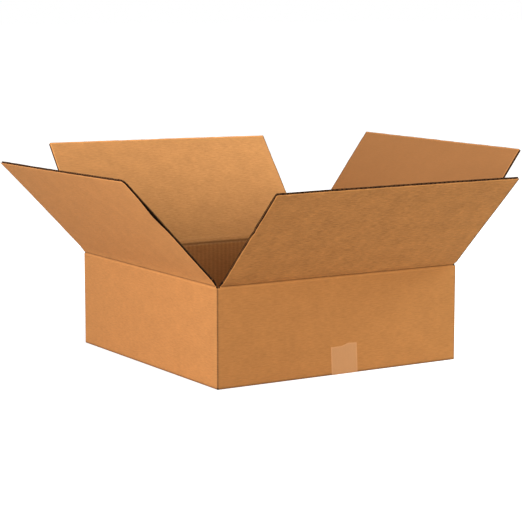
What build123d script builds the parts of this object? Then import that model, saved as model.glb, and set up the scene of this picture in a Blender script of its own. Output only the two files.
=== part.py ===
from build123d import *
import math
import os

# Open corrugated box: four walls, four top flaps folded outwards, a bottom closed with one strip of tape.
# Millimetres. X runs along the front wall, Y towards the back, Z up.
# The origin is on the surface that the box stands on, under the middle of its walls.

# Box
inside_length = 457.0  # along X, between the left and right walls
inside_width = 457.0  # along Y, between the front and back walls
crease_height = 160.0  # top crease of the front and back walls above the surface

# Board
board = 4.0  # both liners and the fluted medium between them
liner = 0.4
medium = 0.35
flute_pitch = 8.7
flute_crest = 1.6  # width of a flute at the liner it is glued to
flute_depth = 30.0  # how far the flutes are open from a free edge
edge_groove = 2.0  # depth of the gap between the liners along a side cut
corner_radius = 2.5  # outside of the upright creases
fold_radius = 1.2  # outside of the bottom creases
bead_radius = 1.2  # ridge that an upright crease raises inside

# Creases and slots of the flaps
layer_gap = 0.3  # air between boards that lie on each other
crease_gap = 0.3  # air across a top crease, between the wall and its flap
crush_depth = 1.2  # how much thinner the board is pressed beside a top crease
crush_band = 5.0  # how far that reaches from the crease
side_clearance = 0.5  # between an inner flap and the wall beside it
outer_inset = 2.5  # ends of the outer flaps, from the outside of the front and back walls
slot_overcut = 1.5  # how far a slot runs past the crease
meeting_gap = 1.5  # between the free edges of two flaps that meet

# Glued joint of the sheet, inside the back right corner
tab_width = 35.0
tab_rake = 10.0  # how much shorter the tab is at its free edge, at each end
tab_end_gap = 3.0  # from the tab to the boards above and below it
seam = 1.0  # end of the right wall, from the outside of the back wall

# How far each flap leans outwards, from upright
front_lean = 45.8
right_lean = 37.0
back_lean = 38.8
left_lean = 43.2

# Tape on the bottom, along the gap between the outer bottom flaps
tape_width = 50.5
tape_thickness = 0.15
tape_offset = 7.5  # its middle from the middle of the box
tape_lap = 48.0  # how far it reaches up the front and back walls
tape_lean = 2.4  # how far the front end drifts to the left on its way up
tape_slant = 3.5  # how much higher the right corner of the front end is torn

outer_length = inside_length + 2 * board
outer_width = inside_width + 2 * board
ground = tape_thickness  # underside of the outer bottom flaps
inner_bottom = ground + board + layer_gap  # underside of the inner bottom flaps
inner_bottom_top = inner_bottom + board
foot = outer_inset - layer_gap  # thickness of the pressed fold that stands in front of an outer flap's end
inner_inset = board + side_clearance
inner_crease = crease_height
outer_crease = crease_height + board + layer_gap  # left and right flaps close on top of the others
inner_flap = (outer_width - meeting_gap) / 2
outer_flap = (outer_length - meeting_gap) / 2
mitre_gap = crease_gap / 2 * math.sqrt(2)  # half the crease gap, measured along Z on a 45 degree face
slot_bottom = inner_crease - slot_overcut
inside_top = inner_crease - board - layer_gap  # lowest that a closed flap reaches, less one gap

# Each side's own frame: X along the wall, Y inwards from its outer face, Z up
SIDES = {
    "front": Location((0, -outer_width / 2, 0)),
    "right": Location((outer_length / 2, 0, 0), (0, 0, 90)),
    "back": Location((0, outer_width / 2, 0), (0, 0, 180)),
    "left": Location((-outer_length / 2, 0, 0), (0, 0, -90)),
}


def along_wall(outline, start, end):
    """Extrude a section drawn in (distance inwards, height) along a wall, from start to end."""
    return Pos(start, 0, 0) * extrude(Plane.YZ * outline, end - start)


def wall_section(crease, base):
    """Section of a wall: its base, then the 45 degree mitre and the pressed band of its top crease.

    base holds the points from the rounded outer foot to the inner face.
    """
    thin = board - crush_depth
    with BuildSketch() as sketch:
        with BuildLine():
            Line((0, crease - mitre_gap), (0, ground + fold_radius))
            RadiusArc((0, ground + fold_radius), (fold_radius, ground), -fold_radius)
            Polyline(
                (fold_radius, ground),
                *base,
                (board, crease - board - crush_band),
                (thin, crease - thin - mitre_gap),
                (0, crease - mitre_gap),
            )
        make_face()
    return sketch.sketch


def flap_section(length):
    """Section of an upright top flap, drawn from its hinge axis, which lies on its outer face."""
    thin = board - crush_depth
    return make_face(
        Polyline(
            (0, mitre_gap),
            (0, length),
            (board, length),
            (board, board + crush_band),
            (thin, thin + mitre_gap),
            close=True,
        )
    )


def strip_section(start, end, low):
    """Section of a flat board from start to end inwards, with its underside at low."""
    return Pos((start + end) / 2, low + board / 2) * Rectangle(end - start, board)


def inner_side(name, short_end=0.0):
    """Front or back wall with its inner bottom flap. short_end is missing at the wall's low X end."""
    half = outer_length / 2
    base = [(foot, ground), (foot, inner_bottom), (board, inner_bottom)]
    wall = along_wall(wall_section(inner_crease, base), -half + short_end, half)
    flap = along_wall(strip_section(foot, inner_flap, inner_bottom), -half + inner_inset, half - inner_inset)
    return SIDES[name] * (wall + flap)


def outer_side(name, reach=0.0):
    """Left or right wall with its outer bottom flap. The wall reaches past the flap at its high X end."""
    half = outer_width / 2 - outer_inset
    wall = along_wall(wall_section(outer_crease, [(board, ground)]), -half, half + reach)
    flap = along_wall(strip_section(fold_radius, outer_flap, ground), -half, half)
    return SIDES[name] * (wall + flap)


def at_corner(sx, sy, inset=0.0):
    """Frame at an outer corner of the walls, with X and Y pointing into the box. inset moves it along X."""
    angle = {(-1, -1): 0, (1, -1): 90, (1, 1): 180, (-1, 1): -90}[sx, sy]
    return Location((sx * (outer_length / 2 - inset), sy * outer_width / 2, 0), (0, 0, angle))


def upright(outline, low, high):
    """Extrude a plan outline from low to high."""
    return Pos(0, 0, low) * extrude(outline, high - low)


def corner_slot(sx, sy):
    """What the slot between two top flaps takes out of a corner."""
    centre = (sx * (outer_length - inner_inset) / 2, sy * (outer_width - outer_inset) / 2)
    return upright(Pos(*centre) * Rectangle(inner_inset, outer_inset), slot_bottom, outer_crease)


def corner_rounding(frame):
    """What rounding takes off an upright outer corner."""
    square = Pos(corner_radius / 2, corner_radius / 2) * Rectangle(corner_radius, corner_radius)
    return frame * upright(square - Pos(corner_radius, corner_radius) * Circle(corner_radius), 0, outer_crease)


def corner_bead(frame):
    """Ridge that an upright crease raises on the inside of a corner."""
    ridge = Pos(board, board) * Circle(bead_radius)
    return frame * upright(ridge, inner_bottom_top + layer_gap, inside_top)


def glue_tab():
    """Tab folded off the back wall and glued inside the right wall, with raked ends."""
    low = inner_bottom_top + tab_end_gap
    high = inside_top - tab_end_gap
    root = outer_width / 2 - board
    outline = make_face(
        Polyline(
            (root, low), (root, high), (root - tab_width, high - tab_rake), (root - tab_width, low + tab_rake),
            close=True,
        )
    )
    return Pos(outer_length / 2 - 2 * board, 0, 0) * extrude(Plane.YZ * outline, board)


def box_body():
    """The folded sheet without its top flaps: walls, bottom flaps and the glued joint."""
    body = inner_side("front") + inner_side("back", short_end=board)
    body += outer_side("left") + outer_side("right", reach=outer_inset - seam)
    body += glue_tab()
    for sx in (-1, 1):
        for sy in (-1, 1):
            body -= corner_slot(sx, sy)
    # at the glued joint the fold lies one board further in, beside the right wall
    folds = [at_corner(-1, -1), at_corner(1, -1), at_corner(-1, 1), at_corner(1, 1, inset=board)]
    for frame in folds:
        body = body - corner_rounding(frame) + corner_bead(frame)
    return body


def flute_channels(width, length):
    """The open ends of the flutes along a free edge: trapezoids that lie on each liner in turn."""
    rise = board - 2 * liner - medium
    # a sloping web of the medium, measured along the edge, solved for its own thickness
    slope = math.atan2(rise, flute_pitch / 2 - flute_crest)
    web = medium / math.sin(slope)
    wide = flute_pitch - 2 * web - flute_crest
    half_pitch = flute_pitch / 2
    count = int((width - 2 * edge_groove - wide - 2 * web) / half_pitch) + 1
    channels = []
    for i in range(count):
        x = (i - (count - 1) / 2) * half_pitch
        near, far = (liner, liner + rise) if i % 2 else (board - liner, board - liner - rise)
        channels.append(
            make_face(
                Polyline(
                    (x - wide / 2, near), (x + wide / 2, near), (x + flute_crest / 2, far), (x - flute_crest / 2, far),
                    close=True,
                )
            )
        )
    return upright(Sketch() + channels, length - flute_depth, length)


def side_groove(side, width, length):
    """Gap between the liners along one side cut of a flap."""
    depth, gap = edge_groove, board - 2 * liner
    outline = Pos(side * (width - depth) / 2, board / 2) * Rectangle(depth, gap)
    return upright(outline, board + crush_band, length)


def top_flap(name, width, length, crease, lean):
    """A top flap, hinged on the outer edge of its wall and leaning outwards."""
    flap = along_wall(flap_section(length), -width / 2, width / 2)
    flap -= flute_channels(width, length)
    for side in (-1, 1):
        flap -= side_groove(side, width, length)
    return SIDES[name] * Pos(0, 0, crease) * Rot(lean, 0, 0) * flap


def bottom_tape():
    """Tape under the bottom, folded up onto the front and back walls."""
    t, r = tape_thickness, fold_radius
    far = outer_width
    with BuildSketch() as sketch:
        with BuildLine():
            Line((0, ground + r), (-t, ground + r))
            RadiusArc((-t, ground + r), (r, 0), -(r + t))
            Line((r, 0), (far - r, 0))
            RadiusArc((far - r, 0), (far + t, ground + r), -(r + t))
            Line((far + t, ground + r), (far, ground + r))
            RadiusArc((far, ground + r), (far - r, ground), r)
            Line((far - r, ground), (r, ground))
            RadiusArc((r, ground), (0, ground + r), r)
        make_face()
    left, right = tape_offset - tape_width / 2, tape_offset + tape_width / 2
    under = SIDES["front"] * along_wall(sketch.sketch, left, right)
    start = ground + r
    front = make_face(
        Polyline(
            (left, start), (right, start),
            (right - tape_lean, tape_lap + tape_slant / 2), (left - tape_lean, tape_lap - tape_slant / 2),
            close=True,
        )
    )
    back = Pos(tape_offset, (start + tape_lap) / 2) * Rectangle(tape_width, tape_lap - start)
    front_lap = Pos(0, -outer_width / 2, 0) * extrude(Plane.XZ * front, t)
    back_lap = Pos(0, outer_width / 2 + t, 0) * extrude(Plane.XZ * back, t)
    return under + front_lap + back_lap


os.makedirs("parts", exist_ok=True)
# A gap more than the wall's own slots, so that a turning flap clears the ends of its wall
inner_flap_width = outer_length - 2 * (inner_inset + crease_gap)
outer_flap_width = outer_width - 2 * (outer_inset + crease_gap)
parts = {
    "box_body": box_body(),
    "front_flap": top_flap("front", inner_flap_width, inner_flap, inner_crease, front_lean),
    "back_flap": top_flap("back", inner_flap_width, inner_flap, inner_crease, back_lean),
    "left_flap": top_flap("left", outer_flap_width, outer_flap, outer_crease, left_lean),
    "right_flap": top_flap("right", outer_flap_width, outer_flap, outer_crease, right_lean),
    "bottom_tape": bottom_tape(),
}
for name, solid in parts.items():
    export_step(solid, f"parts/{name}.step")
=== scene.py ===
# %% [markdown]
# # An open corrugated box
#
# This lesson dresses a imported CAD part: a low, square box of brown corrugated board, set up and
# open, with its bottom taped. The CAD part gives the size and the hinges. Blender adds what the
# eye sees: paper plies, flutes in the cut edges, pressed creases, a strip of paper tape and soft
# light. The frame is loaded first, because every piece is placed in its coordinates.

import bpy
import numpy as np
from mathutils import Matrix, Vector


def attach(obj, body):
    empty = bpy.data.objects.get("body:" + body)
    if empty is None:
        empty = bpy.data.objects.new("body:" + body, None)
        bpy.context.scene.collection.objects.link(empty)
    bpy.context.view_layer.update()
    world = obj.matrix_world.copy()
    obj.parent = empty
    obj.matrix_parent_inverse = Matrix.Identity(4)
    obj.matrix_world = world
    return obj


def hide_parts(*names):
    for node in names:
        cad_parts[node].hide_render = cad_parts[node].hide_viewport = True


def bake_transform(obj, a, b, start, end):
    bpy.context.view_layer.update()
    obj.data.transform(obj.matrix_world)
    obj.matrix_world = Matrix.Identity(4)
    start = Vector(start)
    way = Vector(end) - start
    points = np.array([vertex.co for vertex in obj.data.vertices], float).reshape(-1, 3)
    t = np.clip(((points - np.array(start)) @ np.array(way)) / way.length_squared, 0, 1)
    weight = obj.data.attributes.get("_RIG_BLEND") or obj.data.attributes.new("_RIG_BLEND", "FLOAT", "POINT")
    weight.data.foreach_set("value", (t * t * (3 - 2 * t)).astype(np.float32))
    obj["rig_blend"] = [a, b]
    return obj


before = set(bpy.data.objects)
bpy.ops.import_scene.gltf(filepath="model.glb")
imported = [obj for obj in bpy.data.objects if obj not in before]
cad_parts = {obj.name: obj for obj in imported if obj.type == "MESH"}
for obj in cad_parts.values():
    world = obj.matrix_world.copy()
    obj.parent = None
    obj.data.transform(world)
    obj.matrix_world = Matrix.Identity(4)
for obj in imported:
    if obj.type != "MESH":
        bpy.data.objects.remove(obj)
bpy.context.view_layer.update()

# %% Blender's own modules
import math

import bmesh
import bpy
from mathutils import Matrix, Vector, noise

# %% [markdown]
# ## The camera
#
# The camera comes before the making, so that each piece can be checked from the photograph's own
# place. Its position, direction and lens were worked out from the corners of the box in the
# picture. It stands about 3 m away with a long lens, which is why the box looks almost parallel.

# %% Camera
PICTURE = 522  # pixels, on both sides
FOCAL = 1796  # pixels
SENSOR = 36  # mm
AZIMUTH = math.radians(-31.76)
ELEVATION = math.radians(8.23)
CAMERA_PLACE = (-1.618, -2.599, 0.600)  # m

back = Vector((
    math.sin(AZIMUTH) * math.cos(ELEVATION),
    -math.cos(AZIMUTH) * math.cos(ELEVATION),
    math.sin(ELEVATION),
))
camera = bpy.data.objects.new("camera", bpy.data.cameras.new("camera"))
bpy.context.collection.objects.link(camera)
camera.location = CAMERA_PLACE
camera.rotation_mode = "QUATERNION"
camera.rotation_quaternion = (-back).to_track_quat("-Z", "Y")
camera.data.sensor_width = SENSOR
camera.data.lens = SENSOR * FOCAL / PICTURE
bpy.context.scene.camera = camera
print("lens", round(camera.data.lens, 1), "mm")

# %% [markdown]
# ## The sizes of the box
#
# The numbers repeat those of the CAD part, in millimetres. Each side has its own frame: X runs
# along the wall, Y inwards from its outer face and Z up. In the CAD part the left and right
# flaps turn one board higher than the front and back ones, so that rigid flaps can close. Real
# board is soft at its creases and the photograph shows all four in line, so the creases seen
# here lie between those two heights, and each flap meets its CAD plane a little further up. The
# left and right flaps are 2.4 mm narrower than in the CAD part, so that they clear the front and
# back creases when they close.

# %% Sizes
MM = 0.001
HALF = 232.5  # from the middle of the box to the outside of a wall
BOARD = 4.0
LINER = 0.4  # paper on either face of the board
MEDIUM = 0.35  # fluted paper between the liners
FLUTE_PITCH = 8.7
GROUND = 0.15  # the box stands on its tape
FLAP_LENGTH = 231.75
BAND_LOW = 150.0  # the crease strips start here, and the walls end
POST_TOP = 160.6  # top of the corner posts, where the slots between the flaps end
SETTLE = 12.0  # a flap lies in its CAD plane from here on, measured from its crease

# turn is about Z, in degrees, and centre is the middle of the side along the flat blank. hinge and
# crease are the heights of the CAD hinge and of the crease that is seen. lean is in degrees from
# upright, and width is that of the flap
SIDES = {
    "front": dict(turn=0, centre=0, hinge=160.0, crease=162.8, lean=45.8, width=455.4),
    "right": dict(turn=90, centre=465, hinge=164.3, crease=163.0, lean=37.0, width=457.0),
    "back": dict(turn=180, centre=-930, hinge=160.0, crease=162.8, lean=38.8, width=455.4),
    "left": dict(turn=-90, centre=-465, hinge=164.3, crease=163.0, lean=43.2, width=457.0),
}
print("flutes in a flap", round(SIDES["front"]["width"] / FLUTE_PITCH))

# %% [markdown]
# ## Helpers for materials
#
# Colours are written as sRGB hex values, as a paint programme shows them, and one function turns
# them to the linear values that the renderer works with. A second one adds a node, sets it and
# links it, so that a material reads as a short list.

# %% Colour and node helpers
def linear(colour):
    """Linear RGBA of an sRGB hex colour."""
    parts = [int(colour[i:i + 2], 16) / 255 for i in (1, 3, 5)]
    return (*[p / 12.92 if p <= 0.04045 else ((p + 0.055) / 1.055) ** 2.4 for p in parts], 1.0)


def add(tree, kind, *values, named=None, **settings):
    """Add a node. An input takes a value, a socket, or a node, whose first output is linked."""
    node = tree.nodes.new(kind)
    for name, value in settings.items():
        setattr(node, name, value)
    for name, value in [*enumerate(values), *(named or {}).items()]:
        if isinstance(value, bpy.types.Node):
            value = value.outputs[0]
        if isinstance(value, bpy.types.NodeSocket):
            tree.links.new(value, node.inputs[name])
        else:
            node.inputs[name].default_value = value
    return node


def new_material(name):
    """An empty node material and its tree."""
    material = bpy.data.materials.new(name)
    material.use_nodes = True
    material.node_tree.nodes.clear()
    return material, material.node_tree


print("mid grey in linear light", [round(part, 3) for part in linear("#808080")[:3]])

# %% [markdown]
# ## Kraft liner
#
# The outside of the board is unbleached kraft paper, 0.4 mm thick: long brown fibres pressed into
# a dull, slightly cloudy sheet. The fibres lie mostly along the paper web, which is across the
# flutes, so the mottle is drawn out sideways. Glued to the medium, the paper sinks a little
# between the flutes. That hardly shows outside, but inside the box it shows as faint ribs, which
# are painted light and dark into the paper's colour. Single fibres are finer than a pixel of this
# picture, so they are drawn as streaks about 2 mm by 11 mm.
#
# Every piece of board keeps three attributes, and the patterns read them, so they follow the
# paper round its folds and into the flaps. The first, sheet, says where a point was on the flat
# blank, in millimetres: along the crease, into the board, and up from the crease. The second,
# trim, is the distance to the nearest cut edge. The edge itself is painted dark, as shade of the
# gap between the liners. The third, rub, is 1 where handling has rubbed the paper paler a
# millimetre in from the cut, and 0 where a band of painted shade lies beside the cut instead.

# %% Patterns that the kraft materials share
# Sizes in mm: across the flutes, into the board and along the flutes
STREAK = (11.0, 4.0, 1.9)
CLOUD = (38.0, 20.0, 26.0)


def kraft_pattern(tree):
    """Sheet position, fibre streaks and clouds. Both patterns lie about 0."""
    sheet = add(tree, "ShaderNodeAttribute", attribute_name="sheet").outputs["Vector"]
    patterns = []
    for size, detail in ((STREAK, 3.0), (CLOUD, 2.0)):
        place = add(tree, "ShaderNodeVectorMath", sheet, size, operation="DIVIDE")
        field = add(
            tree, "ShaderNodeTexNoise",
            named={"Vector": place, "Scale": 1.0, "Detail": detail, "Roughness": 0.6},
        )
        patterns.append(add(tree, "ShaderNodeMath", field.outputs["Fac"], 0.5, operation="SUBTRACT"))
    return sheet, *patterns


def line_at(tree, distance, middle, width):
    """A soft line, 1 in its middle: exp(-((distance - middle) / width)^2)."""
    offset = add(tree, "ShaderNodeMath", distance, middle, operation="SUBTRACT")
    ratio = add(tree, "ShaderNodeMath", offset, width, operation="DIVIDE")
    square = add(tree, "ShaderNodeMath", ratio, ratio, operation="MULTIPLY")
    power = add(tree, "ShaderNodeMath", square, -1.0, operation="MULTIPLY")
    return add(tree, "ShaderNodeMath", power, operation="EXPONENT")


def total(tree, base, weighted):
    """base plus each pattern times its strength."""
    for pattern, strength in weighted:
        base = add(tree, "ShaderNodeMath", pattern, strength, base, operation="MULTIPLY_ADD")
    return base


print("fibre streaks", STREAK, "mm, clouds", CLOUD, "mm")

# %% [markdown]
# A crease is drawn into the liner as well as pressed into the mesh: a line of painted shade runs
# along the fold on either face, and a painted highlight lies on the bulge just below it outside.
# The paper inside the box is painted a little darker, as shade, and so are the corners and the
# foot of the walls. The front flap is blotchier than the rest, and the right flap smoother. Deep
# between the liners the paper is painted nearly black, as shade, since it sees little light.

# %% Marks on the liner
WALL_HEIGHT = 162.7  # from the visible creases down to the floor
# Each mark is a soft line along a cut edge, a crease or a corner: where its middle is and how wide
# it is, in mm, and how much lighter or darker it makes the paper
MARKS = {
    # the first entry darkens the cut edge and the third a band beside it: both are painted shade of the gap
    # between the liners
    "cut": (0.0, 0.35, -0.97),
    "rubbed": (1.4, 0.9, 0.65),
    "gap_shade": (0.4, 1.2, -0.75),
    # painted shade along the creases, and a painted highlight on the bulge just below the outer one
    "fold": (0.0, 1.1, -0.5),
    "ridge_highlight": (-3.4, 1.3, 0.16),
    "inner fold": (-1.4, 1.9, -0.5),
    # painted shade at the foot of the walls, where they meet the floor, and in the upright corners
    "foot": (-WALL_HEIGHT, 2.6, -0.6),
    "corner": (0.0, 1.9, -0.72),
}


def mark(tree, name, distance, share=1.0):
    """One of the marks and its strength, seen where share is 1."""
    middle, width, strength = MARKS[name]
    line = line_at(tree, distance, middle, width)
    return add(tree, "ShaderNodeMath", line, share, operation="MULTIPLY"), strength


def cut_marks(tree):
    """Marks along the cut edges: painted shade on them and beside some, and paler rubbed paper."""
    trim = add(tree, "ShaderNodeAttribute", attribute_name="trim").outputs["Fac"]
    rub = add(tree, "ShaderNodeAttribute", attribute_name="rub").outputs["Fac"]
    gap_shade_share = add(tree, "ShaderNodeMath", 1.0, rub, operation="SUBTRACT")
    return mark(tree, "cut", trim), mark(tree, "rubbed", trim, rub), mark(tree, "gap_shade", trim, gap_shade_share)


def fold_marks(tree, up, outside, inside):
    """Painted shade along the top creases, on either face of the board, and a painted highlight beside the
    outer one.
    """
    fold, ridge_highlight = mark(tree, "fold", up, outside), mark(tree, "ridge_highlight", up, outside)
    return fold, ridge_highlight, mark(tree, "inner fold", up, inside)


def wall_marks(tree, along, up):
    """Painted shade along the foot of the walls and at their corners."""
    shifted = add(tree, "ShaderNodeMath", along, HALF, operation="ADD")
    from_corner = add(tree, "ShaderNodeMath", shifted, HALF, operation="PINGPONG")
    return mark(tree, "foot", up), mark(tree, "corner", from_corner)


print("marks", *MARKS)

# %% The liner's material
KRAFT = "#b97e44"
KRAFT_INSIDE = "#b87f48"
BLOTCHES = {"front": 1.1, "right": -0.6, "back": 0.3}  # added to the patterns' strength on a flap
SKIN = 1.0  # mm; a point no deeper than this belongs to a face of the board
INSIDE_START = -3.0  # mm up from the crease; below this the inner face is the inside of the box


def pattern_strength(tree, along, up):
    """1, and more or less on some of the flaps."""
    on_flap = add(tree, "ShaderNodeMath", up, 0.0, operation="GREATER_THAN")
    changes = []
    for name, change in BLOTCHES.items():
        on_side = add(tree, "ShaderNodeMath", along, SIDES[name]["centre"], HALF, operation="COMPARE")
        changes.append((add(tree, "ShaderNodeMath", on_side, on_flap, operation="MULTIPLY"), change))
    return total(tree, 1.0, changes)


def make_liner():
    """Dull brown paper: a tone of the kraft colour that patterns and marks lighten and darken."""
    material, tree = new_material("unbleached_kraft_liner")
    sheet, streaks, clouds = kraft_pattern(tree)
    along, depth, up = add(tree, "ShaderNodeSeparateXYZ", sheet).outputs
    strength = pattern_strength(tree, along, up)
    streaks = add(tree, "ShaderNodeMath", streaks, strength, operation="MULTIPLY")
    clouds = add(tree, "ShaderNodeMath", clouds, strength, operation="MULTIPLY")
    turns = add(tree, "ShaderNodeMath", along, 2 * math.pi / FLUTE_PITCH, operation="MULTIPLY")
    washboard = add(tree, "ShaderNodeMath", turns, operation="SINE")
    outside = add(tree, "ShaderNodeMath", depth, SKIN, operation="LESS_THAN")
    inside = add(tree, "ShaderNodeMath", depth, BOARD - SKIN, operation="GREATER_THAN")
    # the inner face inside the box gets painted shade, and faint ribs painted light and dark at the flute
    # pitch
    below = add(tree, "ShaderNodeMath", up, INSIDE_START, operation="LESS_THAN")
    in_box = add(tree, "ShaderNodeMath", below, inside, operation="MULTIPLY")
    ribs = add(tree, "ShaderNodeMath", washboard, in_box, operation="MULTIPLY")
    # painted shade: the paper between the two liners is made nearly black, since little light gets in there
    half_gap = BOARD / 2 - 0.75 * LINER  # most of the way from the board's middle to its faces
    between = add(tree, "ShaderNodeMath", depth, BOARD / 2, half_gap, operation="COMPARE")
    tone = total(tree, 1.0, (
        (streaks, 0.50), (clouds, 0.22), *cut_marks(tree), *fold_marks(tree, up, outside, inside),
        (in_box, -0.11), (ribs, 0.065), *wall_marks(tree, along, up), (between, -0.95),
    ))
    outer, inner = (Vector(linear(colour)[:3]) for colour in (KRAFT, KRAFT_INSIDE))
    paper = add(tree, "ShaderNodeVectorMath", inside, inner - outer, outer, operation="MULTIPLY_ADD")
    colour = add(tree, "ShaderNodeVectorMath", paper, named={"Scale": tone}, operation="SCALE")
    height = total(tree, 0.0, ((streaks, 0.45), (clouds, 0.9), (washboard, 0.01)))
    bump = add(tree, "ShaderNodeBump", named={"Height": height, "Distance": MM, "Strength": 1.0})
    shader = add(tree, "ShaderNodeBsdfPrincipled", named={
        "Base Color": colour, "Normal": bump, "Roughness": 0.92, "Specular IOR Level": 0.22,
    })
    add(tree, "ShaderNodeOutputMaterial", shader)
    return material


liner_paper = make_liner()
print("material", liner_paper.name)

# %% [markdown]
# ## Fluting medium
#
# The waved paper inside the board is made of recycled pulp. It is greyer, rougher and darker than
# the liner, and it only shows in the cut edges. A little way behind a cut it is painted almost
# black, as shade.

# %% The medium's material
MEDIUM_PAPER = "#94623a"
DEEP_TONE = 0.05  # where no light reaches
CUT_TONE = 0.45  # lighter than that at a cut edge
CUT_REACH = 1.2  # mm


def make_medium():
    """Grey brown paper, painted darker fast behind the cut edges, as shade."""
    material, tree = new_material("recycled_fluting_medium")
    streaks = kraft_pattern(tree)[1]
    trim = add(tree, "ShaderNodeAttribute", attribute_name="trim").outputs["Fac"]
    at_cut = line_at(tree, trim, 0.0, CUT_REACH)
    tone = total(tree, DEEP_TONE, ((streaks, 0.1), (at_cut, CUT_TONE)))
    paper = linear(MEDIUM_PAPER)[:3]
    colour = add(tree, "ShaderNodeVectorMath", paper, named={"Scale": tone}, operation="SCALE")
    shader = add(tree, "ShaderNodeBsdfPrincipled", named={
        "Base Color": colour, "Roughness": 0.95, "Specular IOR Level": 0.1,
    })
    add(tree, "ShaderNodeOutputMaterial", shader)
    return material


medium_paper = make_medium()
print("material", medium_paper.name)

# %% [markdown]
# ## Cutting board
#
# Every piece of board starts as a flat grid that stands upright in its side's frame: X along the
# crease, Y into the board, Z up from the crease. It gets its thickness by extruding the grid, and
# only then is it pressed, folded and warped by moving its vertices. A grid is the right start,
# because a fold needs rows of vertices along the crease and a warp needs them all over.

# %% Rows, columns and one ply
GROWTH = 0.35  # away from a fine end, a step is this share of the distance to it


def spread(start, end, fine, coarse, fine_start=True, fine_end=True):
    """Positions from start to end, with small steps near the ends named as fine."""
    positions = [start]
    while positions[-1] < end:
        near = min(
            positions[-1] - start if fine_start else math.inf,
            end - positions[-1] if fine_end else math.inf,
        )
        positions.append(positions[-1] + min(coarse, max(fine, GROWTH * near)))
    scale = (end - start) / (positions[-1] - start)
    return [start + (position - start) * scale for position in positions]


def new_board():
    """An empty bmesh that can note where each vertex was on the flat blank."""
    bm = bmesh.new()
    bm.verts.layers.float_vector.new("sheet")
    bm.verts.layers.float.new("trim")
    bm.verts.layers.float.new("rub")
    return bm


def flat_ply(bm, columns, rows, near, far, keep=None):
    """One upright ply between two depths, without the cells that keep(x, z) is false for."""
    before = set(bm.verts)
    bmesh.ops.create_grid(bm, x_segments=len(columns) - 1, y_segments=len(rows) - 1, size=0.5)
    verts = [v for v in bm.verts if v not in before]
    # the grid runs from -0.5 to 0.5, so a vertex's place tells its column and row
    for v in verts:
        column = round((v.co.x + 0.5) * (len(columns) - 1))
        row = round((v.co.y + 0.5) * (len(rows) - 1))
        v.co = (columns[column], near, rows[row])
    faces = [f for f in bm.faces if f.verts[0] not in before]
    if keep:
        gone = []
        for f in faces:
            middle = f.calc_center_median()
            if not keep(middle.x, middle.z):
                gone.append(f)
        bmesh.ops.delete(bm, geom=gone, context="FACES")
        faces = [f for f in faces if f.is_valid]
    grown = bmesh.ops.extrude_face_region(bm, geom=faces)["geom"]
    inner = [g for g in grown if isinstance(g, bmesh.types.BMVert)]
    bmesh.ops.translate(bm, verts=inner, vec=(0, far - near, 0))
    bmesh.ops.recalc_face_normals(bm, faces=[f for f in bm.faces if f.verts[0] not in before])
    return [v for v in bm.verts if v not in before]


print("rows with fine ends", [round(row, 1) for row in spread(0.0, 30.0, 2.0, 8.0)])

# %% From a bmesh to a finished piece
BOARD_PAPERS = [liner_paper, medium_paper]
MEDIUM_INDEX = 1  # the medium's place among the papers of the board
SHARP = math.radians(35)  # edges that turn more are drawn sharp


def note_sheet(bm, verts, centre, origin=0.0):
    """Write where each vertex is on the flat blank, before anything is folded."""
    sheet = bm.verts.layers.float_vector["sheet"]
    for v in verts:
        v[sheet] = (centre + v.co.x, v.co.y, v.co.z - origin)


def finish_piece(bm, name, materials, body):
    """Scale to metres, mark the sharp edges and make the object."""
    bmesh.ops.scale(bm, verts=bm.verts[:], vec=(MM, MM, MM))
    bm.normal_update()
    for edge in bm.edges:
        edge.smooth = len(edge.link_faces) == 2 and edge.calc_face_angle(0) < SHARP
    for face in bm.faces:
        face.smooth = True
    mesh = bpy.data.meshes.new(name)
    bm.to_mesh(mesh)
    bm.free()
    for material in materials:
        mesh.materials.append(material)
    piece = bpy.data.objects.new(name, mesh)
    bpy.context.collection.objects.link(piece)
    if body:
        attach(piece, body)
    mesh.calc_loop_triangles()
    print(name, len(mesh.vertices), "vertices", len(mesh.loop_triangles), "triangles")
    return piece


print("a finished piece of board has", len(BOARD_PAPERS), "materials")

# %% [markdown]
# ## Folding a flap
#
# A pressed crease is a line where the board has been crushed between two wheels, so that it folds
# there. The flap turns about it with a small radius, the board is thinner on both sides, and the
# outer paper bulges a little just below the line. One function gives the place of any point of
# the flat sheet after folding. The crease strip and the flap both use it, so they always meet.

# %% The fold
FOLD = 0.9  # half the length of paper that turns at the crease
FAN = 2.5  # half the length over which the board's inner face turns
PRESSED = 0.72  # thickness left at the crease, as a share
PRESSED_FLAT = 1.0  # how far either side of the crease the board is that thin
PRESSED_FADE = 4.0  # and over how much more it regains its thickness
# Bulges of the outer face, in mm: height, middle up from the crease, width
RELIEF = ((0.35, -3.2, 1.5), (-0.7, 0.0, 0.8), (0.2, 3.0, 1.5))


def smooth(t):
    """0 to 1 with level ends."""
    t = min(max(t, 0.0), 1.0)
    return t * t * (3 - 2 * t)


def bell(x, middle, width):
    """1 at the middle and 0 far from it."""
    return math.exp(-(((x - middle) / width) ** 2))


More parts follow.
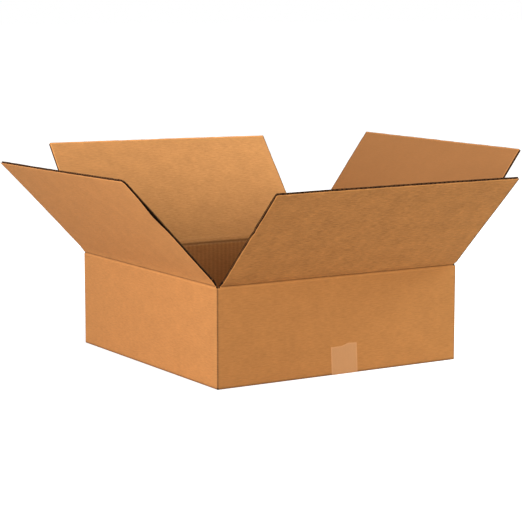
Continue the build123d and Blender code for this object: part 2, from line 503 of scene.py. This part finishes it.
def fold_point(side, depth, up):
    """(inwards, height) of a point of the sheet, depth into the board and up from the crease."""
    lean = math.radians(side["lean"])
    crease = Vector((0.0, side["crease"]))
    wall_way = Vector((0.0, 1.0))
    flap_way = Vector((-math.sin(lean), math.cos(lean)))
    flap_in = Vector((math.cos(lean), math.sin(lean)))
    if up <= -FOLD:
        point = crease + wall_way * up
    elif up >= FOLD:
        point = crease + flap_way * up
    else:
        t = (up + FOLD) / (2 * FOLD)
        point = crease - wall_way * FOLD * (1 - t) ** 2 + flap_way * FOLD * t * t
    # the flap settles into the plane of its CAD node
    rise = side["crease"] - side["hinge"]
    point = point - flap_in * rise * math.sin(lean) * smooth(up / SETTLE)
    turn = lean * smooth((up + FAN) / (2 * FAN))
    into = Vector((math.cos(turn), math.sin(turn)))
    thin = 1 - (1 - PRESSED) * (1 - smooth((abs(up) - PRESSED_FLAT) / PRESSED_FADE))
    relief = sum(high * bell(up, middle, width) for high, middle, width in RELIEF)
    return point + into * (depth * thin - relief * (1 - depth / BOARD))


def stand(side, point):
    """A point of a side's own frame, in the frame of the box."""
    turn = Matrix.Rotation(math.radians(side["turn"]), 3, "Z")
    return turn @ (Vector(point) - Vector((0, HALF, 0)))


for name, side in SIDES.items():
    tip = fold_point(side, 0, FLAP_LENGTH)
    print(name, "flap tip", [round(part, 1) for part in tip])

# %% [markdown]
# ## The top flaps
#
# A flap is built as the real board is: an outer liner, an inner liner and a waved medium between
# them, so that its cut edges show open flutes along the top and a dark gap along the sides. The
# flutes could be painted on, but from other angles only real ones hold.
# Board that has been handled is never quite flat, so each flap is warped a little.

# %% Length and warp of the flaps
def reach(side):
    """Length of a flap from its visible crease to its free edge."""
    rise = side["crease"] - side["hinge"]
    return FLAP_LENGTH - rise * math.cos(math.radians(side["lean"]))


# How far each free corner is from its flat place, in mm: (longer, raised, shifted to high X) at
# the low and high X ends of the flap, and the bow of the free edge between them
WARP = {
    "front": dict(ends=((-2.6, 0.0, 0.2), (-0.8, 0.0, 0.7)), bow=0.7),
    "right": dict(ends=((-0.9, -0.5, 0.0), (1.2, -0.2, 0.0)), bow=-0.2),
    "back": dict(ends=((-2.7, 1.1, 1.2), (3.0, 0.0, 0.5)), bow=0.4),
    "left": dict(ends=((-4.2, -2.9, 0.0), (1.8, -0.3, 0.0)), bow=-0.5),
}
DENT = 0.35  # mm, how deep the shallow dents of a flap are
DENT_SIZE = 90  # mm


def warped(side, warp, x, depth, up):
    """A folded point of a flap, warped, in the side's own frame."""
    length = reach(side)
    far = max((up - SETTLE) / (length - SETTLE), 0.0)
    share = x / side["width"] + 0.5
    low, high = (Vector(end) for end in warp["ends"])
    longer, raised, shifted = low.lerp(high, share) * far
    raised *= far
    raised += warp["bow"] * (1 - (2 * share - 1) ** 2) * far * far
    # closed, the front and back flaps lie under the others: they dent into the box, the others
    # out. The dents fade in over the first quarter of a flap
    away = 1 if side["turn"] % 180 == 0 else -1
    dent = 0.5 + noise.noise(Vector((x / DENT_SIZE, up / DENT_SIZE, side["turn"])))
    raised += DENT * away * max(dent, 0.0) * smooth(4 * far)
    inwards, height = fold_point(side, depth, up + longer)
    lean = math.radians(side["lean"])
    return (x + shifted, inwards + raised * math.cos(lean), height + raised * math.sin(lean))


print("flaps in mm from their visible creases", [round(reach(side), 1) for side in SIDES.values()])

# %% [markdown]
# The plies are cut with a rotary die, which leaves edges that are a little crushed and wavy. The
# amount changes along the edge with a fixed noise pattern.

# %% Cut edges
SLOW, QUICK = 14.0, 4.5  # mm, the lengths of the two waves along a cut


def cut_wobble(place, seed, size):
    """A wobble of about this size at a place along a cut edge."""
    slow = noise.noise(Vector((place / SLOW, seed, 0.5)))
    quick = noise.noise(Vector((place / QUICK, seed, 3.5)))
    return size * (slow + 0.5 * quick)


print("a cut every 20 mm", [round(cut_wobble(place, 1, 1.0), 2) for place in range(0, 100, 20)])

# %% [markdown]
# Two edges are damaged. Along the front cut of the left flap the outer liner has come off the
# medium and bulges, and that flap's front tip is worn round. The left cut of the front flap has
# a nick, and its liner is a little loose as well.

# %% Wear
TIP_RADIUS = 2.0  # mm, of an ordinary corner
ROUND_TIP = {("left", 1): 8.0}  # the flap and its end: 1 at high X, -1 at low X
PINCH = dict(most=0.12, reach=3.0, mean=0.8, varies=1.2)  # how much thinner the board is at a cut
WOBBLE, WOBBLE_REACH = 0.35, 5.0  # mm
# Where a liner is loose: at and long are shares of the flap's length, bulge and wide are in mm
LOOSE = {
    ("left", 1): dict(at=0.675, long=0.11, bulge=2.0, wide=9.0),
    ("front", -1): dict(at=0.82, long=0.14, bulge=0.9, wide=6.0),
}
LOOSE_MEDIUM = dict(follows=0.45, out=2.6, wide=6.0)  # part of the bulge, and mm beyond the cut
NICK = {("front", -1): dict(at=0.60, long=3.0, deep=1.8, wide=4.0)}  # at is a share, the rest mm
# Added to the seed, so that the plies and the two directions of a cut wobble differently
PLY_SEEDS = {"outer": 0, "medium": 2, "inner": 5}
PINCH_SEED, END_SEED = 7, 11


def pinch(from_edge, place, seed):
    """How much thinner the board is beside a cut, as a share."""
    uneven = PINCH["mean"] + cut_wobble(place, seed, PINCH["varies"])
    return PINCH["most"] * math.exp(-from_edge / PINCH["reach"]) * uneven


def worn(name, ply, x, depth, up):
    """A point of a flat flap after cutting and wear. ply is outer, inner or medium."""
    side = SIDES[name]
    length = reach(side)
    way = 1 if x > 0 else -1
    from_side, from_end = side["width"] / 2 - abs(x), length - up
    radius = ROUND_TIP.get((name, way), TIP_RADIUS)
    a, b = radius - from_side, radius - from_end
    if a > 0 and b > 0:
        inside_circle = max(a, b) / math.hypot(a, b)
        from_side, from_end = radius - a * inside_circle, radius - b * inside_circle
    seed = side["turn"] / 10 + 3 * way
    thinner = pinch(from_side, up, seed) + pinch(from_end, x, seed + PINCH_SEED)
    depth = BOARD / 2 + (depth - BOARD / 2) * (1 - max(thinner, 0.0))
    seed += PLY_SEEDS[ply]
    side_wobble = cut_wobble(up, seed, WOBBLE) * math.exp(-from_side / WOBBLE_REACH)
    end_wobble = cut_wobble(x, seed + END_SEED, WOBBLE) * math.exp(-from_end / WOBBLE_REACH)
    if (name, way) in LOOSE and ply != "inner":
        loose = LOOSE[name, way]
        share = bell(up, loose["at"] * length, loose["long"] * length)
        lift = loose["bulge"] * share * math.exp(-from_side / loose["wide"])
        if ply == "outer":
            depth -= lift
        else:
            depth -= lift * LOOSE_MEDIUM["follows"]
            side_wobble += LOOSE_MEDIUM["out"] * share * math.exp(-from_side / LOOSE_MEDIUM["wide"])
    if (name, way) in NICK:
        nick = NICK[name, way]
        deep = nick["deep"] * bell(up, nick["at"] * length, nick["long"])
        side_wobble -= deep * math.exp(-from_side / nick["wide"])
    x = way * (side["width"] / 2 - from_side + side_wobble)
    return x, depth, length - from_end + end_wobble


left = SIDES["left"]
edge_point = worn("left", "outer", left["width"] / 2, 0.0, reach(left) / 2)
print("middle of the left flap's side edge", [round(part, 2) for part in edge_point])

# %% Flutes
SIDE_GAP = 3.4  # how far the medium ends inside a side cut
END_GAP = 0.4  # and inside the free edge
FLUTE_STEPS = 10  # columns of vertices in one flute
CREST = 1.3  # the wave is drawn this much too high and cut off, which makes its crests flat


def fluted_medium(bm, side):
    """The waved paper of one flap, standing flat. Returns its vertices."""
    half = side["width"] / 2 - SIDE_GAP
    steps = round(2 * half / (FLUTE_PITCH / FLUTE_STEPS))
    columns = [-half + 2 * half * i / steps for i in range(steps + 1)]
    rows = spread(SETTLE + 1, reach(side) - END_GAP, fine=2.0, coarse=30.0, fine_start=False)
    before = set(bm.verts)
    bmesh.ops.create_grid(bm, x_segments=steps, y_segments=len(rows) - 1, size=0.5)
    swing = (BOARD - 2 * LINER - MEDIUM) / 2
    for v in [v for v in bm.verts if v not in before]:
        x = columns[round((v.co.x + 0.5) * steps)]
        up = rows[round((v.co.y + 0.5) * (len(rows) - 1))]
        wave = CREST * math.cos(2 * math.pi * (x + half) / FLUTE_PITCH)
        v.co = (x, BOARD / 2 + swing * min(max(wave, -1.0), 1.0), up)
    faces = [f for f in bm.faces if f.verts[0] not in before]
    bm.normal_update()
    bmesh.ops.solidify(bm, geom=faces, thickness=MEDIUM)
    verts = [v for v in bm.verts if v not in before]
    for v in verts:
        v.co.y = min(max(v.co.y, LINER), BOARD - LINER)
    for face in bm.faces:
        if face.verts[0] not in before:
            face.material_index = MEDIUM_INDEX
    return verts


print("vertices across one flute", FLUTE_STEPS)

# %% The four flaps
# The end of each flap with a band of painted shade beside its cut, 1 at high X. Its other edges are rubbed
# pale
GAP_SHADE_END = {"front": 1, "right": 1, "back": -1, "left": -1}
GAP_SHADE_BLEND = 10.0  # mm over which one passes into the other at a tip


def rubbed_share(name, side, x, up):
    """1 beside an edge that is rubbed pale, 0 beside the one with a band of painted shade."""
    from_gap_shade = side["width"] / 2 - GAP_SHADE_END[name] * x
    from_end = reach(side) - up
    return smooth(0.5 + (from_gap_shade - from_end) / GAP_SHADE_BLEND)


def make_flap(name, side):
    """Two liners and the medium between them, cut, worn, folded and warped."""
    bm = new_board()
    trim = bm.verts.layers.float["trim"]
    rub = bm.verts.layers.float["rub"]
    half = side["width"] / 2
    columns = spread(-half, half, fine=1.5, coarse=8.0)
    rows = spread(SETTLE, reach(side), fine=1.5, coarse=8.0, fine_start=False)
    plies = {
        "outer": flat_ply(bm, columns, rows, 0.0, LINER),
        "inner": flat_ply(bm, columns, rows, BOARD - LINER, BOARD),
        "medium": fluted_medium(bm, side),
    }
    for ply, verts in plies.items():
        note_sheet(bm, verts, side["centre"])
        for v in verts:
            v[trim] = min(half - abs(v.co.x), reach(side) - v.co.z)
            v[rub] = rubbed_share(name, side, v.co.x, v.co.z)
            v.co = stand(side, warped(side, WARP[name], *worn(name, ply, *v.co)))
    piece = finish_piece(bm, name + "_flap_board", BOARD_PAPERS, name + "_flap")
    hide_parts(name + "_flap")


for name, side in SIDES.items():
    make_flap(name, side)

# %% [markdown]
# ## The creases
#
# Between each wall and its flap runs a strip of pressed board. It belongs to neither: when the
# flap turns, the strip has to bend with it. So it is a piece of its own that is blended from the
# body of the box to the body of the flap, over a few millimetres about the hinge. The groove at
# each end of the strip is the crushed medium between the two liners.

# %% A groove in a cut end
HAIR = 0.01  # mm, too little to see
STRAIGHT = 0.9  # a face looks along an axis when its normal has this much of it


def groove(bm, faces, deep=3.0, even=True):
    """Sink the middle of a cut end between the liners."""
    bmesh.ops.inset_region(bm, faces=faces, thickness=LINER, depth=0.0, use_even_offset=even)
    sunk = bmesh.ops.inset_region(bm, faces=faces, thickness=HAIR, depth=-deep, use_even_offset=even)
    for face in list(faces) + sunk["faces"]:
        face.material_index = MEDIUM_INDEX


print("a groove is", round(BOARD - 2 * LINER, 1), "mm wide")

# %% The four crease strips
CREASE_ROWS = (  # mm up from the crease
    -8, -6.5, -5.4, -4.6, -3.9, -3.2, -2.5, -1.9, -1.4, -0.9, -0.6, -0.3, 0,
    0.3, 0.6, 0.9, 1.4, 1.9, 2.5, 3.2, 3.9, 4.6, 5.4, 6.5, 8, SETTLE,
)
UNCUT = 50.0  # mm to a cut edge where there is none near
UNEVEN = dict(high=0.25, long=25.0, wide=4.0)  # mm, how the line of a crease wanders
BLEND_HALF = 3.5  # mm, half the length over which a strip passes from the box to its flap


def make_crease(name, side):
    """The pressed strip between a wall and its flap."""
    bm = new_board()
    half = side["width"] / 2
    columns = spread(-half, half, fine=2.0, coarse=9.0)
    rows = [BAND_LOW - side["crease"], *CREASE_ROWS]
    flat_ply(bm, columns, rows, 0.0, BOARD)
    bm.normal_update()
    for way in (-1, 1):
        groove(bm, [f for f in bm.faces if f.normal.x * way > STRAIGHT])
    note_sheet(bm, bm.verts[:], side["centre"])
    trim = bm.verts.layers.float["trim"]
    rub = bm.verts.layers.float["rub"]
    for v in bm.verts:
        x, depth, up = v.co
        v[rub] = rubbed_share(name, side, x, up)
        # below the slot the strip is not cut: it goes on into the corner post
        v[trim] = half - abs(x) if up > POST_TOP - side["crease"] else UNCUT
        wobble = UNEVEN["high"] * noise.noise(Vector((x / UNEVEN["long"], side["turn"], 0.3)))
        inwards, height = fold_point(side, depth, up)
        v.co = stand(side, (x, inwards, height + wobble * bell(up, 0, UNEVEN["wide"])))
    piece = finish_piece(bm, name + "_crease", BOARD_PAPERS, None)
    lean = math.radians(side["lean"]) / 2
    middle = Vector((0, 0, side["hinge"]))
    way = Vector((0, -math.sin(lean), math.cos(lean))) * BLEND_HALF
    start = stand(side, middle - way) * MM
    end = stand(side, middle + way) * MM
    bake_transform(piece, "box", name + "_flap", start=start, end=end)


for name, side in SIDES.items():
    make_crease(name, side)

# %% [markdown]
# ## The walls
#
# The four walls are one strip of board, folded at three upright creases and glued at the fourth
# corner. Each wall is cut as a flat grid and bent by half a corner at either end, so that it
# meets its neighbours on the diagonal and can be welded to them. At the glued corner the sheet
# goes on past the fold as a narrow tab, which lies inside the right wall. The tab's ends are
# cut at a slant, so that it can't catch on the flaps. At a corner the board is crushed, because
# the inside of a fold has less room than its outside.

# %% Bending a wall at its corners
CORNER = 2.5  # outside radius of an upright crease
GLUED_END = HALF - BOARD  # where the back wall folds, inside the right wall
CRUSHED = 2.3  # thickness of the board in a corner
BOTTOM_RADIUS = 1.2
# At its free edge the tab is shorter by rake at either end
TAB = dict(start=GLUED_END + CORNER, width=35.0, rake=10.0, low=11.45, high=152.7)


def wrap_point(name, x, depth, height):
    """A point of a wall in its side's frame, with rounded upright and bottom edges."""
    lift = height - GROUND
    if lift < BOTTOM_RADIUS:
        drop = BOTTOM_RADIUS - lift
        depth = max(depth, BOTTOM_RADIUS - math.sqrt(max(BOTTOM_RADIUS ** 2 - drop ** 2, 0.0)))
    glued = name == "back" and x < 0
    half = GLUED_END if glued else HALF
    run = abs(x) - TAB["start"]
    if glued and run > 0:
        middle = (TAB["low"] + TAB["high"]) / 2
        tall = (TAB["high"] - TAB["low"]) / 2
        height = middle + (height - middle) * (1 - TAB["rake"] / tall * run / TAB["width"])
        return (-GLUED_END + depth, CORNER + run, height)
    past = abs(x) - (half - CORNER)
    if past <= 0 or (name == "right" and x > 0):
        return (x, depth, height)
    turn = math.radians(90 if glued else 45) * past / (2 * CORNER if glued else CORNER)
    # crushed most on the diagonal, half way round the fold
    from_diagonal = abs(past - CORNER)
    depth *= CRUSHED / BOARD + (1 - CRUSHED / BOARD) * smooth(from_diagonal / CORNER)
    radius = CORNER - depth
    way = 1 if x > 0 else -1
    return (way * (half - CORNER + radius * math.sin(turn)), CORNER - radius * math.cos(turn), height)


corner_point = wrap_point("front", HALF, 0.0, 80.0)
print("the front wall ends on the diagonal, at", [round(part, 2) for part in corner_point])

# %% The columns and rows of the walls
SEAM = 1.0  # the right wall ends this far inside the glued corner
# Columns in mm from the middle of a wall. The posts beside a flap start at 227.7, or at 228.7
# beside the left and right flaps. Rows are heights above the floor
INNER_COLUMNS = (
    0, 20, 40, 60, 80, 100, 120, 140, 160, 180, 200, 212, 220, 224, 226, 227.7, 228.7, 229.7,
)
CORNER_COLUMNS = (230, 230.6, 231.2, 231.9, HALF)
GLUED_COLUMNS = (
    226, 227, 227.7, 229, 230, TAB["start"], 237, 245, 255, TAB["start"] + TAB["width"],
)
WALL_ROWS = (
    GROUND, 0.25, 0.45, 0.8, 1.35, 3, 8, TAB["low"], 16, 30, 48, 66, 84, 102, 118, 130, 140, 146,
    BAND_LOW, TAB["high"], 156, 158, POST_TOP,
)


def wall_columns(name):
    """Positions along one wall, from its low to its high X end."""
    low = GLUED_COLUMNS if name == "back" else CORNER_COLUMNS
    inner_low = [c for c in INNER_COLUMNS if 0 < c < low[0]]
    high = (HALF - SEAM,) if name == "right" else CORNER_COLUMNS
    return [-c for c in reversed([*inner_low, *low])] + [*INNER_COLUMNS, *high]


print("columns", {name: len(wall_columns(name)) for name in SIDES}, "rows", len(WALL_ROWS))

# %% The ring of walls
GAP_FOOT = 1.5  # mm; the gap in a cut end starts at about this height, above the rounded foot


def make_wall(bm, name, side):
    """One wall with the corner posts beside its flap, bent at its ends."""
    def on_sheet(x, height):
        if x < -TAB["start"] and name == "back":
            return TAB["low"] < height < TAB["high"]
        return height < BAND_LOW or abs(x) > side["width"] / 2

    before = set(bm.faces)
    flat_ply(bm, wall_columns(name), WALL_ROWS, 0.0, BOARD, on_sheet)
    fresh = [f for f in bm.faces if f not in before]
    bm.normal_update()
    # a joined end is open, so that the walls can be welded; a free end gets the gap of a cut edge
    across = [f for f in fresh if abs(f.normal.x) > STRAIGHT]
    joined = [f for f in across if abs(abs(f.calc_center_median().x) - HALF) < HAIR]
    bmesh.ops.delete(bm, geom=joined, context="FACES")
    free = []
    for f in across:
        if f.is_valid:
            middle = f.calc_center_median()
            if abs(middle.x) > HALF - SEAM - HAIR and middle.z > GAP_FOOT:
                free.append(f)
    if free:
        groove(bm, free)
    verts = {v for f in bm.faces if f not in before for v in f.verts}
    note_sheet(bm, verts, side["centre"], side["crease"])
    for v in verts:
        v.co = stand(side, wrap_point(name, *v.co))


walls = new_board()
for name, side in SIDES.items():
    make_wall(walls, name, side)
bmesh.ops.remove_doubles(walls, verts=walls.verts[:], dist=HAIR / 10)
walls.normal_update()
tops = [
    f for f in walls.faces if f.normal.z > STRAIGHT and f.calc_center_median().z > POST_TOP - HAIR
]
groove(walls, tops, deep=1.2, even=False)
print("walls", len(walls.faces), "faces, open edges", sum(e.is_boundary for e in walls.edges))

# %% [markdown]
# ## The bottom
#
# The front and back bottom flaps are folded in first and the left and right ones over them, each
# pair meeting in the middle. None of them moves: the tape holds them.

# %% Bottom flaps
AIR = 0.3  # mm between boards that lie on each other, and beside the outer flaps
SIDE_AIR = 0.5  # mm beside the inner flaps
INTO_WALL = 1.0  # mm, how far the inner flaps start inside their walls
OFF_THE_WALLS = 400.0  # mm below the creases on the sheet, so that no mark of the walls comes here


def make_bottom_flap(bm, side, half, low, start):
    """A flat board from a wall to the middle of the box, with grooves in its cut edges."""
    columns = spread(-half, half, fine=3.0, coarse=30.0)
    rows = spread(start, FLAP_LENGTH, fine=3.0, coarse=30.0, fine_start=False)
    before = set(bm.faces)
    flat_ply(bm, columns, rows, 0.0, BOARD)
    fresh = [f for f in bm.faces if f not in before]
    bm.normal_update()
    for axis, way in ((0, -1), (0, 1), (2, 1)):
        groove(bm, [f for f in fresh if f.normal[axis] * way > STRAIGHT])
    verts = {v for f in bm.faces if f not in before for v in f.verts}
    note_sheet(bm, verts, side["centre"], OFF_THE_WALLS)
    for v in verts:
        x, depth, inwards = v.co
        v.co = stand(side, (x, inwards, low + depth))
    # laying the board down swapped two axes, which turned its faces inside out
    bmesh.ops.reverse_faces(bm, faces=[f for f in bm.faces if f not in before])


for name, side in SIDES.items():
    if name in ("front", "back"):
        half, low, start = HALF - BOARD - SIDE_AIR, GROUND + BOARD + AIR, BOARD - INTO_WALL
    else:
        half, low, start = HALF - BOARD - AIR, GROUND, BOARD
    make_bottom_flap(walls, side, half, low, start)
print("with bottom", len(walls.faces), "faces")

# %% The folded sheet as one piece
trim = walls.verts.layers.float["trim"]
for v in walls.verts:
    v[trim] = UNCUT
folded_sheet = finish_piece(walls, "folded_sheet", BOARD_PAPERS, "box")
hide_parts("box_body")

# %% [markdown]
# ## The tape
#
# One strip of gummed paper tape closes the bottom. It is 50 mm wide and runs under the box and up
# the front and back walls. Its front end was torn by hand: the tear stays level over the left
# half, then climbs.

# %% Tape path and outline
# In mm. lean is how far the strip drifts to the left on its way up the front wall
TAPE = dict(width=50.5, middle=7.5, thick=0.15, lap=48.0, lean=2.4)
TAPE_RADIUS = BOTTOM_RADIUS + TAPE["thick"]
UPRIGHT = TAPE["lap"] - TAPE_RADIUS  # length of the straight part of a lap
ARC = TAPE_RADIUS * math.pi / 2  # length of a bend
LEVEL = 2 * (HALF + TAPE["thick"] - TAPE_RADIUS)  # length under the box


def tape_path(run):
    """Outer face of the tape in the (Y, Z) plane, run from the top of the front lap. Also inwards."""
    edge = HALF + TAPE["thick"]
    if run <= UPRIGHT:
        return Vector((-edge, TAPE["lap"] - run)), Vector((1, 0))
    run -= UPRIGHT
    if run <= ARC:
        angle = run / TAPE_RADIUS
        inwards = Vector((math.cos(angle), math.sin(angle)))
        return Vector((-edge + TAPE_RADIUS, TAPE_RADIUS)) - inwards * TAPE_RADIUS, inwards
    run -= ARC
    if run <= LEVEL:
        return Vector((-edge + TAPE_RADIUS + run, 0)), Vector((0, 1))
    run -= LEVEL
    if run <= ARC:
        angle = run / TAPE_RADIUS
        inwards = Vector((-math.sin(angle), math.cos(angle)))
        return Vector((edge - TAPE_RADIUS, TAPE_RADIUS)) - inwards * TAPE_RADIUS, inwards
    return Vector((edge, TAPE_RADIUS + run - ARC)), Vector((-1, 0))


# The tear along the front end, in mm: its height at the left, then each slope's rise, start and
# length. It wobbles more finely than a cut
TEAR_LEFT = -1.7
SLOPES = ((3.9, -8, 18), (-0.6, 10, 15))
TEAR_WOBBLE, TEAR_FINER = 0.5, 2.2


def torn(across):
    """How far the torn front end is above or below the lap's nominal height."""
    slopes = (rise * smooth((across - start) / length) for rise, start, length in SLOPES)
    return sum(slopes, TEAR_LEFT) + cut_wobble(across * TEAR_FINER, seed=41, size=TEAR_WOBBLE)


print("tape", round(2 * UPRIGHT + 2 * ARC + LEVEL, 1), "mm long")

# %% [markdown]
# The tape is kraft paper as well, but thinner, paler and pinker than the board, and a little
# smoother. Its edges are painted paler still, a painted highlight where their thickness catches
# the light.

# %% The tape's material
TAPE_PAPER = "#c48f5d"
EDGE_HIGHLIGHT = 1.8  # mm


def make_tape_paper():
    """Thin paper with faint fibres and a painted highlight along its edges."""
    material, tree = new_material("gummed_kraft_paper")
    streaks, clouds = kraft_pattern(tree)[1:]
    trim = add(tree, "ShaderNodeAttribute", attribute_name="trim").outputs["Fac"]
    # a painted highlight along the tape's edges, where their thickness catches the light
    edge = line_at(tree, trim, 0.0, EDGE_HIGHLIGHT)
    tone = total(tree, 1.0, ((streaks, 0.12), (clouds, 0.12), (edge, 0.12)))
    paper = linear(TAPE_PAPER)[:3]
    colour = add(tree, "ShaderNodeVectorMath", paper, named={"Scale": tone}, operation="SCALE")
    grain = 0.15 * MM
    bump = add(tree, "ShaderNodeBump", named={"Height": streaks, "Distance": grain, "Strength": 1.0})
    shader = add(tree, "ShaderNodeBsdfPrincipled", named={
        "Base Color": colour, "Normal": bump, "Roughness": 0.75, "Specular IOR Level": 0.3,
    })
    add(tree, "ShaderNodeOutputMaterial", shader)
    return material


tape_paper = make_tape_paper()
print("material", tape_paper.name)

# %% The tape
TAPE_COLUMNS = 40
ARC_ROWS = 5
TEAR_REACH = 20.0  # mm, how far the tear moves the rows behind it
LIFTED = 0.03  # mm off the board, on average
RIPPLE = dict(high=0.05, wide=12.0, long=18.0)  # mm
EDGE_WOBBLE = 0.15  # mm, of the slit edges


def make_tape():
    """The strip, laid flat as a grid of columns across and rows along it, then led round the box."""
    bm = new_board()
    half = TAPE["width"] / 2
    columns = [-half + TAPE["width"] * i / TAPE_COLUMNS for i in range(TAPE_COLUMNS + 1)]
    rows = spread(0, UPRIGHT, fine=1.0, coarse=6.0)
    rows += [UPRIGHT + ARC * i / ARC_ROWS for i in range(1, ARC_ROWS + 1)]
    under = UPRIGHT + ARC
    rows += spread(under, under + LEVEL, fine=4.0, coarse=20.0)[1:]
    rows += [under + LEVEL + ARC * i / ARC_ROWS for i in range(1, ARC_ROWS + 1)]
    back_lap = UPRIGHT + 2 * ARC + LEVEL
    rows += spread(back_lap, back_lap + UPRIGHT, fine=1.0, coarse=6.0)[1:]
    flat_ply(bm, columns, rows, 0.0, TAPE["thick"])
    sheet = bm.verts.layers.float_vector["sheet"]
    trim = bm.verts.layers.float["trim"]
    for v in bm.verts:
        across, depth, run = v.co
        v[sheet] = (run, depth, across)
        v[trim] = min(half - abs(across), run, rows[-1] - run)
        near_end = max(1 - run / TEAR_REACH, 0.0)
        run = run - torn(across) * near_end
        point, inwards = tape_path(run)
        ripple = noise.noise(Vector((across / RIPPLE["wide"], run / RIPPLE["long"], 9)))
        point = point + inwards * (depth - RIPPLE["high"] * ripple - LIFTED)
        height = max(point.y, 0.0)
        drift = TAPE["lean"] * height / TAPE["lap"] if point.x < 0 else 0.0
        edge = cut_wobble(run, seed=31, size=EDGE_WOBBLE) * abs(across) / half
        v.co = (TAPE["middle"] + across + edge - drift, point.x, height)
    bmesh.ops.reverse_faces(bm, faces=bm.faces[:])  # the path runs down, so it mirrored the strip
    piece = finish_piece(bm, "paper_tape", [tape_paper], "box")
    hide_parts("bottom_tape")


make_tape()

# %% [markdown]
# ## Floor, background and light
#
# The box stands on a plain floor that runs out of the picture, in front of a white background.
# The floor is painted pale grey, and where the camera or a reflection sees it, it glows as well.
# That brings it up to white without more light on the box. Near the box the glow is weaker, so
# that the shadow stays. Two large soft lamps stand on the left, a cool one and, further round to
# the front, a warm one. A third is high on the right, with a small weak one below it, and weak
# even light comes from all round.

# %% Floor
FLOOR_PAINT = "#c8c8c8"
FLOOR_HALF = 40  # m, half its side
UNDER = 0.0002  # m below the tape, which lies at z = 0
NEAR_WHITE = 0.78  # strength of the glow near the box
FADE = (0.7, 1.6)  # m from the middle of the box, between which the glow rises to 1


def make_floor():
    """A large square that is grey for the light and white for the camera."""
    material, tree = new_material("matt_white_floor")
    paint = add(tree, "ShaderNodeBsdfDiffuse", linear(FLOOR_PAINT), 0.0)
    place = add(tree, "ShaderNodeTexCoord").outputs["Object"]
    distance = add(tree, "ShaderNodeVectorMath", place, operation="LENGTH").outputs["Value"]
    level = add(tree, "ShaderNodeMapRange", distance, *FADE, NEAR_WHITE, 1.0)
    path = add(tree, "ShaderNodeLightPath").outputs
    camera_ray, glossy_ray = path["Is Camera Ray"], path["Is Glossy Ray"]
    seen = add(tree, "ShaderNodeMath", camera_ray, glossy_ray, operation="MAXIMUM")
    strength = add(tree, "ShaderNodeMath", level, seen, operation="MULTIPLY")
    glow = add(tree, "ShaderNodeEmission", (1, 1, 1, 1), strength)
    both = add(tree, "ShaderNodeAddShader", paint, glow)
    add(tree, "ShaderNodeOutputMaterial", both)
    bm = bmesh.new()
    bmesh.ops.create_grid(bm, x_segments=1, y_segments=1, size=FLOOR_HALF)
    bmesh.ops.translate(bm, verts=bm.verts, vec=(0, 0, -UNDER))
    mesh = bpy.data.meshes.new("floor")
    bm.to_mesh(mesh)
    bm.free()
    mesh.materials.append(material)
    floor = bpy.data.objects.new("floor", mesh)
    bpy.context.collection.objects.link(floor)
    print("floor", 2 * FLOOR_HALF, "m wide")


make_floor()

# %% World and lamps
SKY = 0.15  # strength of the even light
AIM = (0, 0, 0.15)  # m, what every lamp points at
LAMPS = {
    # name: (place, width and height in m, power in W, colour)
    "key": ((-3.22, -1.17, 0.88), (2.0, 1.2), 92, "#cdd8ff"),
    "front": ((-2.82, -1.98, 0.76), (2.0, 1.2), 90, "#fff2dc"),
    "fill": ((2.99, -0.53, 1.90), (2.0, 2.0), 88, "#fffff4"),
    "rim": ((1.54, -0.27, 1.05), (1.0, 1.0), 33, "#f1fdff"),
}


def make_world():
    """Weak light from all round, and white where the camera or a reflection sees it."""
    world = bpy.data.worlds.new("studio")
    world.use_nodes = True
    tree = world.node_tree
    tree.nodes.clear()
    path = add(tree, "ShaderNodeLightPath").outputs
    seen = path["Is Camera Ray"]
    for ray in ("Is Glossy Ray", "Is Transmission Ray"):
        seen = add(tree, "ShaderNodeMath", seen, path[ray], operation="MAXIMUM")
    lit = add(tree, "ShaderNodeBackground", (1, 1, 1, 1), SKY)
    white = add(tree, "ShaderNodeBackground", (1, 1, 1, 1), 1.0)
    add(tree, "ShaderNodeOutputWorld", add(tree, "ShaderNodeMixShader", seen, lit, white))
    bpy.context.scene.world = world


def make_lamp(name, place, size, power, colour):
    """A soft rectangular lamp that points at the box."""
    lamp = bpy.data.objects.new(name, bpy.data.lights.new(name, "AREA"))
    bpy.context.collection.objects.link(lamp)
    lamp.location = place
    lamp.rotation_mode = "QUATERNION"
    lamp.rotation_quaternion = (Vector(AIM) - Vector(place)).to_track_quat("-Z", "Y")
    lamp.data.shape = "RECTANGLE"
    lamp.data.size, lamp.data.size_y = size
    lamp.data.energy = power
    lamp.data.color = linear(colour)[:3]


make_world()
for name, setting in LAMPS.items():
    make_lamp(name, *setting)
bpy.context.scene.view_settings.view_transform = "Standard"
print("lamps", *LAMPS)
